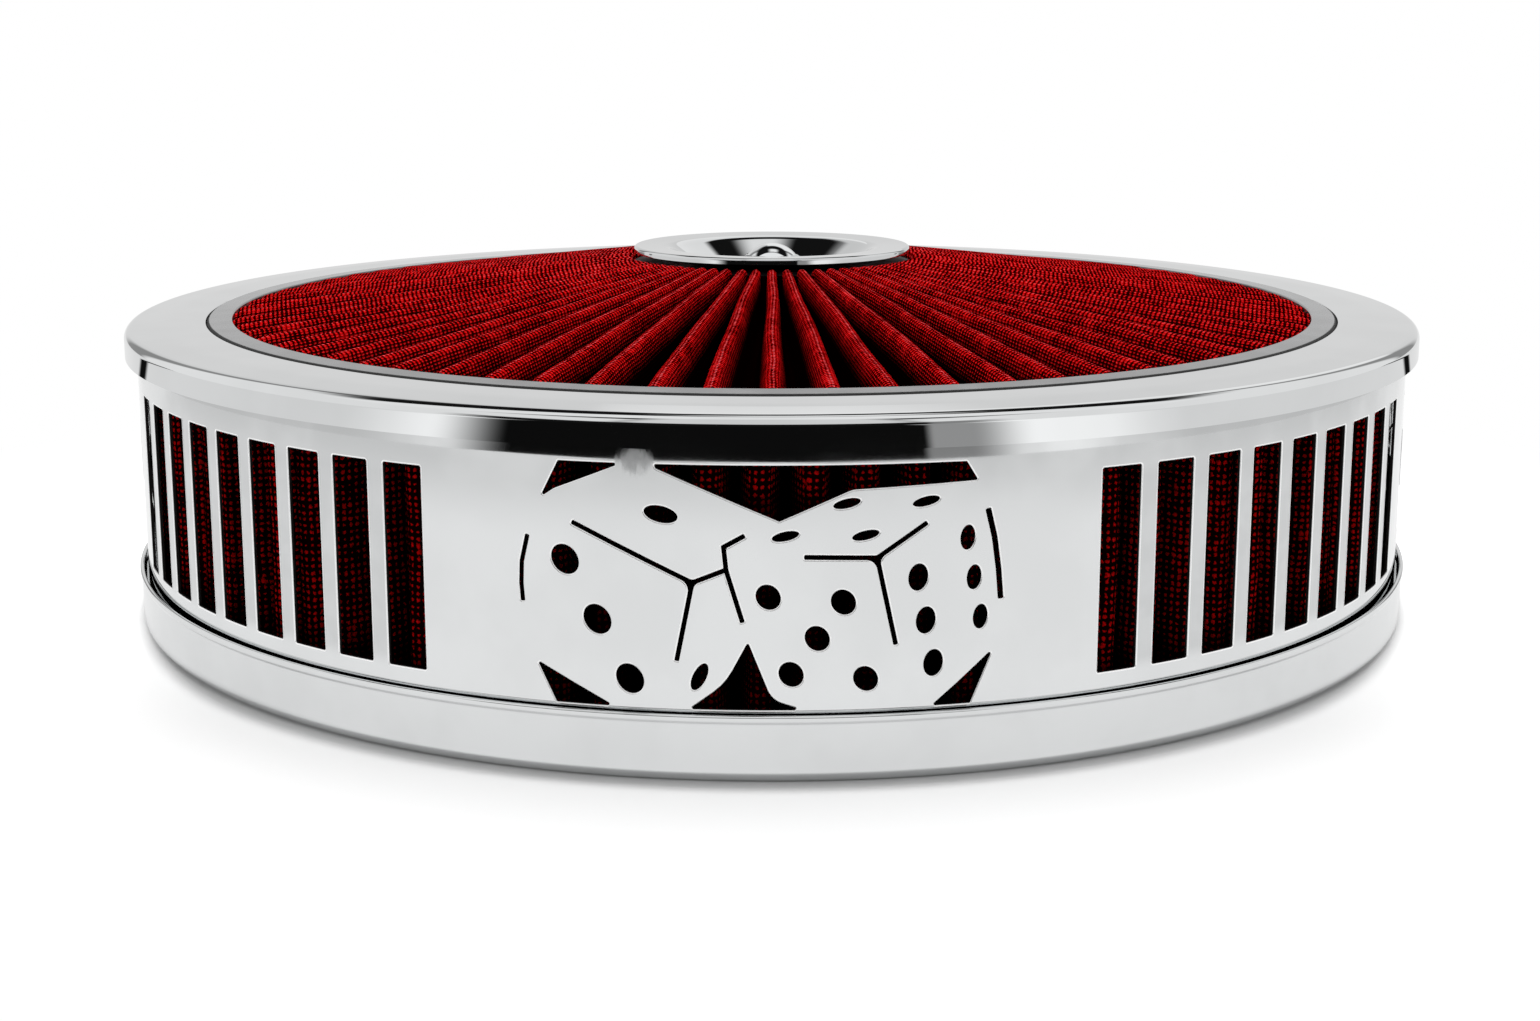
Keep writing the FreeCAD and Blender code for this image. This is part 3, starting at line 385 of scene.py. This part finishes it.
def rolled_band():
    """The cut band with normals that follow the roll, and a fine burr round every cut."""
    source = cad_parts["side_band"].data
    points = [vertex.co.copy() for vertex in source.vertices]
    facets = [list(facet.vertices) for facet in source.polygons]
    normals = [corner.vector.copy() for corner in source.corner_normals]
    marks = [0.0] * len(normals)
    sides, leaning = {}, {}
    lowest_cut, highest_cut = 0.0016, 0.0764
    skin = 0.97

    def radial(place):
        return Vector((place.x, place.y, 0.0)).normalized()

    def spot(place):
        return tuple(round(value * 1e6) for value in place)

    for facet in source.polygons:
        facing = facet.normal.dot(radial(facet.center))
        if abs(facing) > skin:
            for loop in facet.loop_indices:
                out = radial(points[source.loops[loop].vertex_index])
                normals[loop] = out if facing > 0 else -out
        elif lowest_cut < facet.center.z < highest_cut:
            # cut faces marked -1, for their painted shade
            for loop in facet.loop_indices:
                marks[loop] = -1.0
        for a, b in facet.edge_keys:
            key = tuple(sorted((spot(points[a]), spot(points[b]))))
            sides.setdefault(key, []).append((facing, facet.normal.copy(), a, b))
    rims = []
    for key, faces in sides.items():
        outer = [face for face in faces if face[0] > skin]
        cuts = [face for face in faces if abs(face[0]) < 0.5]
        if outer and cuts and lowest_cut < points[outer[0][2]].z < highest_cut:
            rims.append((outer[0][2], outer[0][3]))
            for end in key:
                leaning[end] = leaning.get(end, Vector()) + cuts[0][1]
    width, lift = 0.32 * MM, 0.01 * MM
    for ends in rims:
        first = len(points)
        shades = []
        for end in ends:
            place = points[end]
            out, cut = radial(place), leaning[spot(place)].normalized()
            points += [place - cut * width + out * lift, place + (out + cut) * lift, place - out * width + cut * lift]
            shades += [out, (out + cut).normalized(), cut]
        for k in range(3):
            after = (k + 1) % 3
            strip = [k, after, after + 3, k + 3]
            across = points[first + after] - points[first + k]
            ahead = points[first + k + 3] - points[first + k]
            outward = -shades[1] if k == 2 else shades[k] + shades[after]
            if across.cross(ahead).dot(outward) < 0:
                strip.reverse()
            facets.append([first + number for number in strip])
            normals += [outward.normalized() if k == 2 else shades[number] for number in strip]
            # marks: 1 on the burr strip for its painted highlight, -1 on its cut side for painted shade
            marks += [(1.0, 1.0, -1.0)[number % 3] for number in strip]
    mesh = bpy.data.meshes.new("rolled_band")
    mesh.from_pydata([tuple(place) for place in points], [], facets)
    mesh.shade_smooth()
    mesh.normals_split_custom_set([tuple(normal) for normal in normals])
    mesh.attributes.new("edge", "FLOAT", "CORNER").data.foreach_set("value", marks)
    return mesh


new_piece("rolled_band", rolled_band(), CHROME_BAND, "housing", "side_band")


def turned_rows(name, rows, columns, material, body, replaced):
    """A closed shape of rows of (point, normal) round the axis; a row of one place is a pole.

    Two rows in the same place are a sharp edge, with no facets between them.
    """
    points, index = [], []
    for row in rows:
        pole = (row[0][0] - row[1][0]).length < SAME_PLACE
        index.append([len(points)] * columns if pole else range(len(points), len(points) + columns))
        points += [place for place, _ in row[:1 if pole else columns]]
    facets, normals = [], []
    for i in range(len(rows) - 1):
        if all((rows[i][k][0] - rows[i + 1][k][0]).length < SAME_PLACE for k in (0, 1)):
            continue
        for k in range(columns):
            m = (k + 1) % columns
            corners = {index[r][c]: rows[r][c][1] for r, c in ((i, k), (i, m), (i + 1, m), (i + 1, k))}
            facets.append(list(corners))
            normals += corners.values()
    mesh = bpy.data.meshes.new(name)
    mesh.from_pydata([tuple(point) for point in points], [], facets)
    mesh.shade_smooth()
    mesh.normals_split_custom_set([tuple(normal) for normal in normals])
    new_piece(name, mesh, material, body, replaced)


def cap_nut():
    """A hexagon nut with a turned chamfer and a low crown, as rows from its foot to its crown."""
    foot, top, sphere, crown, half_flats = 86.4, 96.0, 9.0, 6.9, 7.145
    bore, bore_top = 3.245, 94.5
    shoulder = crown + 0.2
    crown_rows = 12
    edge = top - sphere + sqrt(sphere ** 2 - crown ** 2)
    columns = 144
    rows = []
    turn = [2 * pi * k / columns for k in range(columns)]

    def reach(angle):
        return half_flats / cos((angle + pi / 6) % (pi / 3) - pi / 6)

    def flat_normal(angle):
        middle = round(angle / (pi / 3)) * pi / 3
        return Vector((sin(middle), -cos(middle), 0.0))

    def row(radius_of, height_of, normal_of):
        rows.append([
            (Vector((radius_of(a) * sin(a), -radius_of(a) * cos(a), height_of(a))) * MM, normal_of(a)) for a in turn
        ])

    def corner(angle):
        return edge - (reach(angle) - shoulder) * tan(pi / 6)

    cone = Vector((0, 0, cos(pi / 6)))
    down = Vector((0, 0, -1))
    for radius, height, normal_of in (
        (0.0, bore_top, lambda a: down), (bore, bore_top, lambda a: down),
        (bore, bore_top, lambda a: Vector((-sin(a), cos(a), 0))), (bore, foot, lambda a: Vector((-sin(a), cos(a), 0))),
        (bore, foot, lambda a: down),
    ):
        row(lambda a: radius, lambda a: height, normal_of)
    row(reach, lambda a: foot, lambda a: down)
    row(reach, lambda a: foot, flat_normal)
    row(reach, corner, flat_normal)
    row(reach, corner, lambda a: cone + Vector((sin(a), -cos(a), 0)) * 0.5)
    row(lambda a: shoulder, lambda a: edge, lambda a: cone + Vector((sin(a), -cos(a), 0)) * 0.5)
    for k in range(crown_rows + 1):
        lean = acos(sqrt(1 - (crown / sphere) ** 2)) * (1 - k / crown_rows)
        row(lambda a: sphere * sin(lean), lambda a: top - sphere + sphere * cos(lean),
            lambda a: Vector((sin(lean) * sin(a), -sin(lean) * cos(a), cos(lean))))
    turned_rows("domed_nut", rows, columns, CHROME_NUT, "nut", "cap_nut")


def threaded_stud():
    """The stud with its cut thread at both ends, from its foot to its tip."""
    foot, tip, major, minor, shank, pitch = 21.0, 93.9, 3.175, 2.45, 2.8, 1.27
    shank_foot, shank_top, chamfer = 41.0, 65.9, 0.6
    columns = 24
    height = foot
    heights = []
    while height < tip:
        heights.append(height)
        height += pitch / 6
    heights.append(tip)
    rows = []

    def radius(height, angle):
        if shank_foot < height < shank_top:
            return shank
        share = (height / pitch - angle / (2 * pi)) % 1.0
        depth = abs(share - 0.5) * 2
        cut = minor + (major - minor) * min(1.0, 1.25 * depth)
        return min(cut, major - chamfer + (height - foot), major - chamfer + (tip - height))

    rows.append([(Vector((0, 0, foot)) * MM, Vector((0, 0, -1)))] * columns)
    for height in heights:
        row = []
        for k in range(columns):
            angle = 2 * pi * k / columns
            r = radius(height, angle)
            slope = radius(height + 0.1, angle) - radius(height - 0.1, angle)
            normal = Vector((sin(angle) * 0.2, -cos(angle) * 0.2, -slope)).normalized()
            row.append((Vector((r * sin(angle), -r * cos(angle), height)) * MM, normal))
        rows.append(row)
    rows.append([(Vector((0, 0, tip)) * MM, Vector((0, 0, 1)))] * columns)
    turned_rows("threaded_stud", rows, columns, STEEL, "housing", "center_stud")


cap_nut()
threaded_stud()


# pleats

def folded_sheet(name, material, body, replaced, rings, outward):
    """A folded sheet with an upper and a lower skin; a ring holds (point, along, across, depth) places."""
    points, facets, weave, depths = [], [], [], []
    number = len(rings[0][0])
    next_fold, seam_step = 8.0, 0.4
    for skin in rings:
        for ring in skin:
            points += [place[0] * MM for place in ring]
            depths += [place[3] for place in ring]
    skin_size = len(rings[0]) * number
    for which, skin in enumerate(rings):
        for row in range(len(skin) - 1):
            for i in range(number):
                j = (i + 1) % number
                quad = [(row, i), (row, j), (row + 1, j), (row + 1, i)]
                if (which == 0) != outward:
                    quad.reverse()
                facets.append([which * skin_size + r * number + k for r, k in quad])
                for r, k in quad:
                    place = skin[r][k]
                    across = place[2]
                    if i == number - 1 or abs(across - skin[row][i][2]) > next_fold:
                        across = skin[row][i][2] if k == i else skin[row][i][2] + seam_step
                    weave.append((place[1], across))
    for row in (0, len(rings[0]) - 1):
        for i in range(number):
            j = (i + 1) % number
            base = row * number
            quad = [base + i, base + j, skin_size + base + j, skin_size + base + i]
            if (row == 0) == outward:
                quad.reverse()
            facets.append(quad)
            weave += [(0.0, 0.0)] * 4
    mesh = bpy.data.meshes.new(name)
    mesh.from_pydata(points, [], facets)
    layer = mesh.uv_layers.new(name="Weave")
    layer.data.foreach_set("uv", [number for pair in weave for number in pair])
    held = mesh.attributes.new("depth", "FLOAT", "POINT")
    held.data.foreach_set("value", depths)
    mesh.shade_smooth()
    new_piece(name, mesh, material, body, replaced)


def fold_line(step, crest, valley, steps_flat=3, steps_flank=3):
    """One fold as (angle, share of the way up), from one valley to just before the next."""
    bevel = 0.07
    half = []
    for k in range(steps_flat + 1):
        x = k / steps_flat
        half.append((crest * x, 1 - bevel * x ** 2.4))
    for k in range(1, steps_flank + 1):
        x = k / steps_flank
        half.append((crest + (step / 2 - valley - crest) * x, 1 - bevel - (1 - 2 * bevel) * x))
    left = [(-angle, share) for angle, share in reversed(half[1:])]
    return [(-step / 2, 0.0)] + left + half


def lid_pleat_rings():
    """The cone's rings of places, upper and lower skin, in millimetres from its tips to its rim."""
    tip, hub, shoulder, bend, rim = 39.4, 43.0, 43.2, 147.0, 149.9
    start, start_radius, slope, fold_depth = 92.6, 47.0, 0.1263, 12.0
    pleats, sheet, seal_top = 72, 0.8, 91.04
    tip_drop, rim_drop = 2.2, 0.5
    crest_at_hub, crest_at_rim, valley_at_hub, valley_at_rim = 1.2, 1.75, 0.2, 0.9
    sway_reach, lift_reach, sink, uneven_turn, fan_at_hub, fan_at_rim = 0.7, 0.3, 0.12, 0.014, 0.036, 0.01
    first_turn = 0.016
    step = 2 * pi / pleats
    stations = [tip + (hub - tip) * (1 - cos(k / 6 * pi / 2)) for k in range(7)]
    stations += [hub + 0.02 + (bend - hub) * (k / 30) ** 1.15 for k in range(30)]
    stations += [bend + (rim - bend) * sin(k / 4 * pi / 2) for k in range(5)]

    def crest_line(radius):
        height = start - slope * (radius - start_radius)
        if radius < shoulder:
            height -= tip_drop * (1 - sqrt(max(0.0, 1 - ((shoulder - radius) / (shoulder - tip)) ** 2)))
        if radius > bend:
            height -= rim_drop * ((radius - bend) / (rim - bend)) ** 2
        return height

    def ring(radius, along, inset):
        crest_height = crest_line(radius)
        floor = start - slope * (radius - start_radius) - fold_depth
        out = max(0.0, (radius - hub) / (rim - hub))
        end = max(0.0, (shoulder - radius) / (shoulder - tip))
        crest = (crest_at_hub * (1 - out) + crest_at_rim * out) * (1 - 0.45 * end ** 2)
        valley = valley_at_hub * (1 - out) + valley_at_rim * out
        fold = fold_line(step, (crest - inset * 0.8) / radius, (valley + inset * 0.8) / radius)
        places = []
        for i in range(pleats):
            seed = Vector((i * 7.31, radius * 0.022, 0.0))
            free = max(0.0, min(1.0, (radius - hub) / 25, (rim - radius) / 18 + 0.25))
            sway = noise.noise(seed) * sway_reach * free / radius
            lift = noise.noise(seed + Vector((0, 0, 9.7))) * lift_reach * free - sink
            uneven = noise.noise(Vector((i * 1.37, 0.0, 3.3))) * uneven_turn
            fan = sin(4 * i * step) * (fan_at_hub * (1 - out) + fan_at_rim * out)
            across, last = 0.0, None
            run = []
            for angle, share_up in fold:
                height = floor + (crest_height + lift - floor) * share_up - inset
                if radius <= hub:
                    height = max(height, seal_top - inset * 0.03)
                turned = first_turn + i * step + angle + fan + uneven + sway * share_up
                point = Vector((radius * sin(turned), -radius * cos(turned), height))
                if last is not None:
                    across += (point - last).length
                run.append([point, across, 1 - share_up])
                last = point
            middle = run[len(run) // 2][1]
            places += [(point, along, reach - middle, depth) for point, reach, depth in run]
        return places

    above, below = [], []
    along, last = 0.0, None
    for radius in stations:
        height = crest_line(radius)
        if last is not None:
            along += sqrt((radius - last[0]) ** 2 + (height - last[1]) ** 2)
        last = (radius, height)
        above.append(ring(radius, along, 0.0))
        below.append(ring(radius, along, sheet))
    return above, below


def side_pleat_rings():
    """The filter ring's rings of places, outer and inner skin, in millimetres from its foot to its top."""
    low, high, crest_radius, valley_radius, pleats, sheet = 9.0, 69.2, 170.8, 160.6, 96, 0.8
    crest_half, valley_half, sway_reach, lift_reach, sink = 2.1, 0.7, 0.8, 0.5, 0.25
    step = 2 * pi / pleats
    rows = 16

    def ring(height, inset):
        crest, valley = crest_half - inset * 0.8, valley_half + inset * 0.8
        fold = fold_line(step, crest / crest_radius, valley / valley_radius)
        places = []
        for i in range(pleats):
            seed = Vector((i * 5.17, height * 0.03, 4.0))
            free = min(1.0, (height - low) / 12, (high - height) / 12)
            sway = noise.noise(seed) * sway_reach * free / crest_radius
            lift = noise.noise(seed + Vector((0, 0, 5.1))) * lift_reach * free - sink
            across, last = 0.0, None
            run = []
            for angle, share_up in fold:
                radius = valley_radius + (crest_radius + lift - valley_radius) * share_up - inset
                turned = i * step + angle + sway * share_up
                point = Vector((radius * sin(turned), -radius * cos(turned), height))
                if last is not None:
                    across += (point - last).length
                run.append([point, across, 1 - share_up])
                last = point
            middle = run[len(run) // 2][1]
            places += [(point, height, reach - middle, depth) for point, reach, depth in run]
        return places

    heights = [low + (high - low) * k / rows for k in range(rows + 1)]
    return [ring(height, 0.0) for height in heights], [ring(height, sheet) for height in heights]


folded_sheet("lid_gauze_cone", GAUZE_LID, "lid", "lid_media", lid_pleat_rings(), True)
folded_sheet("side_gauze_ring", GAUZE_SIDE, "housing", "element_media", side_pleat_rings(), True)


# stage

def emitter(name, colour_of):
    """A material that only shines, with a strength worked out from directions."""
    material, tree, output = new_material(name)
    place = add(tree, "TexCoord").outputs["Object"]
    level = colour_of(tree, place)
    glow = add(tree, "Emission", Color=WHITE, Strength=level)
    tree.links.new(glow.outputs[0], output.inputs[0])
    return material


def only_in_gloss(thing):
    """Leaves a thing of the stage to be seen in polished metal alone."""
    thing.visible_camera = False
    thing.visible_diffuse = False
    thing.visible_shadow = False
    thing.visible_transmission = False
    thing.visible_volume_scatter = False


def dark_front(tree, heading, left, right):
    """How much of the dark room shows in front: soft on the left, a sharp edge and a grey tail on the right."""
    rising = span(tree, heading, left - 12.4, left)
    falling = span(tree, heading, right, right + 1.6, 1.0, 0.71)
    tail = span(tree, heading, right + 6.5, right + 16.0, 1.0, 0.0)
    return calc(tree, "MULTIPLY", rising, calc(tree, "MULTIPLY", falling, tail))


def studio_level(tree, place):
    """What polished metal sees above the table: side panels, a strip overhead, a backdrop and dark gaps."""
    direction = add(tree, "VectorMath", {"operation": "NORMALIZE"}, i0=place).outputs[0]
    split = add(tree, "SeparateXYZ", Vector=direction)
    rise = calc(tree, "MULTIPLY", calc(tree, "ARCSINE", split.outputs[2]), 180 / pi)
    heading = heading_of(tree, direction)
    away = calc(tree, "ABSOLUTE", heading)
    backdrop = calc(tree, "MULTIPLY", span(tree, away, 138.0, 150.0), span(tree, rise, 36.0, 47.0, 0.76, 0.0))
    side = calc(tree, "MULTIPLY", window(tree, away, 20.0, 136.0, 8.0), span(tree, rise, 42.0, 52.0, 0.95, 0.0))
    up = calc(tree, "MAXIMUM", split.outputs[2], 0.001)
    lean_x = calc(tree, "DIVIDE", split.outputs[0], up)
    lean_y = calc(tree, "DIVIDE", split.outputs[1], up)
    ahead = calc(tree, "MULTIPLY", span(tree, away, 20.0, 30.0, 0.8, 0.0), window(tree, rise, 16.0, 66.0, 5.0))
    strip = calc(tree, "MULTIPLY", window(tree, lean_y, -0.55, 0.08, 0.06), window(tree, lean_x, -1.6, 1.6, 0.3))
    panel = calc(tree, "MULTIPLY", window(tree, lean_y, 0.05, 0.46, 0.12), window(tree, lean_x, -0.2, 0.34, 0.2))
    from_back = calc(tree, "MULTIPLY", calc(tree, "ARCTAN2", split.outputs[0], split.outputs[1]), 180 / pi)
    glint = calc(tree, "MULTIPLY", window(tree, from_back, -14.0, 42.0, 8.0), window(tree, rise, 14.0, 50.0, 6.0))
    dim = calc(tree, "MULTIPLY", window(tree, away, 124.0, 156.0, 3.0), span(tree, rise, 40.0, 50.0, 0.3, 0.0))
    level = calc(tree, "MAXIMUM", calc(tree, "MAXIMUM", backdrop, side), calc(tree, "MAXIMUM", strip, panel))
    level = calc(tree, "MAXIMUM", calc(tree, "MAXIMUM", level, glint), calc(tree, "MAXIMUM", dim, ahead))
    open_air = calc(tree, "SUBTRACT", 1.0, dark_front(tree, heading, -42.0, 24.5))
    keep = calc(tree, "MAXIMUM", open_air, span(tree, rise, 15.0, 21.0))
    return calc(tree, "MULTIPLY_ADD", calc(tree, "MULTIPLY", level, keep), 0.985, 0.008)


def card_level(tree, place):
    """The far part of the table as the metal sees it: dark in front, brightest beside the dark part."""
    heading = heading_of(tree, place)
    away = calc(tree, "ABSOLUTE", heading)
    bright = span(tree, away, 42.0, 62.0, 1.2, 0.84)
    gap = calc(tree, "SUBTRACT", 1.0, window(tree, heading, 121.0, 127.5, 2.0))
    gap = calc(tree, "SUBTRACT", gap, window(tree, heading, -121.0, -114.5, 2.0))
    light = calc(tree, "SUBTRACT", 1.0, dark_front(tree, heading, -34.2, 20.6))
    level = calc(tree, "MULTIPLY", calc(tree, "MULTIPLY", light, gap), bright)
    return calc(tree, "MULTIPLY_ADD", level, 0.995, 0.005)


def ring_mesh(name, rings, segments):
    """A surface of rings, each (radius, height) in metres."""
    turns = [2 * pi * k / segments for k in range(segments)]
    points = [(r * sin(turn), -r * cos(turn), z) for r, z in rings for turn in turns]
    facets = []
    for row in range(len(rings) - 1):
        for k in range(segments):
            j = (k + 1) % segments
            facets.append([row * segments + k, row * segments + j, (row + 1) * segments + j, (row + 1) * segments + k])
    mesh = bpy.data.meshes.new(name)
    mesh.from_pydata(points, [], facets)
    mesh.shade_smooth()
    thing = bpy.data.objects.new(name, mesh)
    bpy.context.scene.collection.objects.link(thing)
    return thing


def floor_material():
    """A pale table that keeps a shadow, thinned by a painted glow, and shows as white to the camera and in the metal.
    """
    material, tree, output = new_material("pale_floor")
    place = add(tree, "TexCoord").outputs["Object"]
    flat = add(tree, "VectorMath", {"operation": "MULTIPLY"}, i0=place, i1=(1.0, 1.0, 0.0)).outputs[0]
    reach = add(tree, "VectorMath", {"operation": "LENGTH"}, i0=flat).outputs["Value"]
    tone = span(tree, cloud(tree, place, 6.0, 3.0), 0.3, 0.7, 0.84, 0.86)
    colour = add(tree, "CombineXYZ", X=tone, Y=tone, Z=tone).outputs[0]
    matt = add(tree, "BsdfDiffuse", Color=colour)
    path = add(tree, "LightPath")
    gloss_ray = path.outputs["Is Glossy Ray"]
    clear_ray = calc(tree, "MAXIMUM", path.outputs["Is Camera Ray"], path.outputs["Is Transmission Ray"])
    # painted glow: lightens the shadow, rising away from the foot and strongest beside the object
    beside = window(tree, calc(tree, "ABSOLUTE", heading_of(tree, place)), 40.0, 140.0, 30.0)
    clear_of_foot = span(tree, calc(tree, "MULTIPLY_ADD", beside, 0.0036, reach), 0.1772, 0.1836)
    painted_glow = calc(tree, "MULTIPLY", calc(tree, "MULTIPLY", clear_ray, clear_of_foot),
                calc(tree, "MULTIPLY_ADD", beside, 0.22, 0.48))
    glow = add(tree, "Emission", Color=WHITE, Strength=painted_glow)
    both = add(tree, "AddShader", i0=matt.outputs[0], i1=glow.outputs[0])
    bright = calc(tree, "MULTIPLY_ADD", gloss_ray, 0.06, 1.0)
    white = add(tree, "Emission", Color=WHITE, Strength=bright)
    in_gloss = calc(tree, "MULTIPLY", calc(tree, "MULTIPLY", gloss_ray, clear_of_foot), 0.75)
    far = calc(tree, "MULTIPLY", clear_ray, span(tree, reach, 0.2, 0.34))
    mixed = add(tree, "MixShader", i0=calc(tree, "MAXIMUM", far, in_gloss), i1=both.outputs[0], i2=white.outputs[0])
    tree.links.new(mixed.outputs[0], output.inputs[0])
    return material


DOME_REACH = 3.9
floor = ring_mesh("floor", [(0.0001, 0.0), (0.25, 0.0), (0.6, 0.0), (1.5, 0.0), (4.0, 0.0)], 96)
floor.data.materials.append(floor_material())
dome_rings = [(DOME_REACH * cos(radians(a)), DOME_REACH * sin(radians(a))) for a in range(0, 90, 5)]
dome = ring_mesh("studio_dome", dome_rings + [(0.001, DOME_REACH)], 96)
dome.data.materials.append(emitter("studio_panels", studio_level))
only_in_gloss(dome)
CARD_HEIGHT = 0.0006
card = ring_mesh("dark_card", [(reach, CARD_HEIGHT) for reach in (0.5, 1.2, DOME_REACH)], 144)
card.data.materials.append(emitter("dark_card", card_level))
only_in_gloss(card)


def softbox(name, place, target, size, power):
    lamp = bpy.data.lights.new(name, "AREA")
    lamp.shape = "RECTANGLE"
    lamp.size, lamp.size_y = size
    lamp.energy = power
    thing = bpy.data.objects.new(name, lamp)
    bpy.context.scene.collection.objects.link(thing)
    thing.location = place
    thing.rotation_euler = (Vector(target) - Vector(place)).to_track_quat("-Z", "Y").to_euler()
    thing.visible_glossy = False
    thing.visible_camera = False


softbox("overhead", (0.0, 0.2, 1.3), (0.0, 0.0, 0.05), (1.1, 0.9), 11.0)
softbox("front_left", (-0.9, -1.2, 0.8), (0.0, 0.0, 0.05), (0.8, 0.8), 3.5)
softbox("front_right", (1.0, -1.1, 0.7), (0.0, 0.0, 0.05), (0.7, 0.7), 3.0)

world = bpy.data.worlds.new("studio")
bpy.context.scene.world = world
world.use_nodes = True
sky = world.node_tree
sky.nodes.clear()
path = add(sky, "LightPath")
seen = calc(sky, "MAXIMUM", path.outputs["Is Camera Ray"], path.outputs["Is Glossy Ray"])
seen = calc(sky, "MAXIMUM", seen, path.outputs["Is Transmission Ray"])
strength = calc(sky, "MULTIPLY_ADD", seen, 0.85, 0.15)
sky_light = add(sky, "Background", Color=WHITE, Strength=strength)
sky.links.new(sky_light.outputs[0], add(sky, "OutputWorld").inputs[0])

scene = bpy.context.scene
scene.view_settings.view_transform = "Standard"
eye = bpy.data.cameras.new("camera")
camera = bpy.data.objects.new("camera", eye)
scene.collection.objects.link(camera)
scene.camera = camera
EYE_TURN = 0.0146
EYE_PITCH = radians(10.443)
EYE_DISTANCE = 0.58132
EYE_HEIGHT = 0.15319
camera.location = (EYE_DISTANCE * sin(EYE_TURN), -EYE_DISTANCE * cos(EYE_TURN), EYE_HEIGHT)
camera.rotation_euler = (pi / 2 - EYE_PITCH, 0.0, EYE_TURN)
eye.sensor_width = 36.0
eye.lens = 47.612
eye.shift_x = -0.00113
eye.shift_y = -0.06219
eye.clip_start = 0.01
eye.clip_end = 20.0
